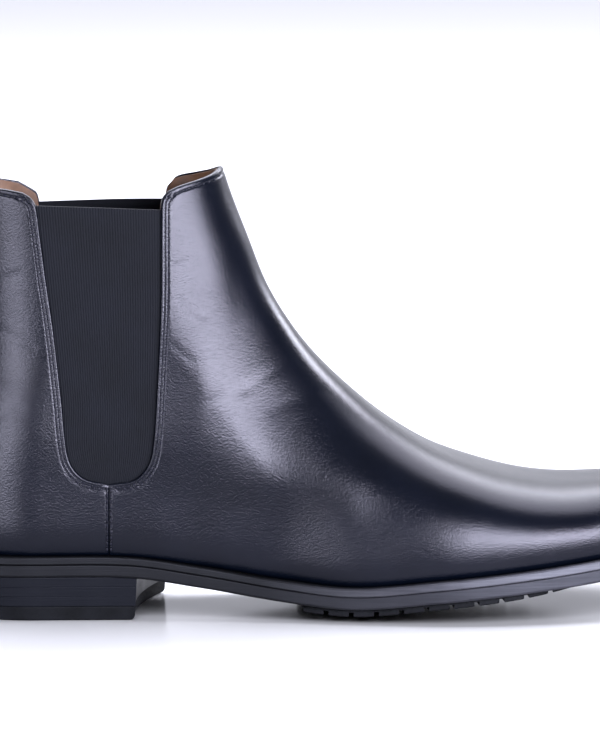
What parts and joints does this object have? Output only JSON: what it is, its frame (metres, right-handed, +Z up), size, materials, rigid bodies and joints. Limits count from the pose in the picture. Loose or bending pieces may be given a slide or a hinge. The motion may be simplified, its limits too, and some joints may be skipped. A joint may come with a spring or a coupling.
{
  "type": "chelsea boot",
  "caption": "Ankle boot in smooth black leather with elastic side panels, a welted sole, a low stacked heel and a studded rubber forepart.",
  "frame": {"origin": "middle of the boot's footprint, on the surface it stands on", "axes": "+X along the boot towards the toe, +Y towards the inner (medial) side of a right boot, +Z up"},
  "size_m": [0.304, 0.103, 0.1719],
  "materials": {
    "upper_leather": "polished, fine grain",
    "elastic": "matt, finely ribbed",
    "tape": "woven",
    "lining_leather": "matt, soft",
    "stiffener": "matt felt",
    "insole_leather": "matt",
    "cork": "granular cork",
    "steel": "plain",
    "welt_leather": "waxed edge",
    "sole_leather": "waxed edge",
    "heel_leather": "waxed stack",
    "sole_rubber": "matt",
    "thread": "waxed thread"
  },
  "bodies": {
    "root": {"upper_front": "upper_leather", "quarter_lateral": "upper_leather", "quarter_medial": "upper_leather", "back_strip": "upper_leather", "pull_tab": "tape", "gore_lateral": "elastic", "gore_medial": "elastic", "lining_front": "lining_leather", "lining_quarter": "lining_leather", "toe_puff": "stiffener", "heel_counter": "stiffener", "insole_board": "insole_leather", "heel_pad": "stiffener", "sock_liner": "lining_leather", "cork_filler": "cork", "shank": "steel", "welt": "welt_leather", "outsole": "sole_leather", "forepart_tread": "sole_rubber", "heel_lift_1": "heel_leather", "heel_lift_2": "heel_leather", "heel_lift_3": "heel_leather", "top_piece": "sole_rubber", "heel_nail_1": "steel", "heel_nail_2": "steel", "heel_nail_3": "steel", "heel_nail_4": "steel", "heel_nail_5": "steel"}
  },
  "joints": []
}
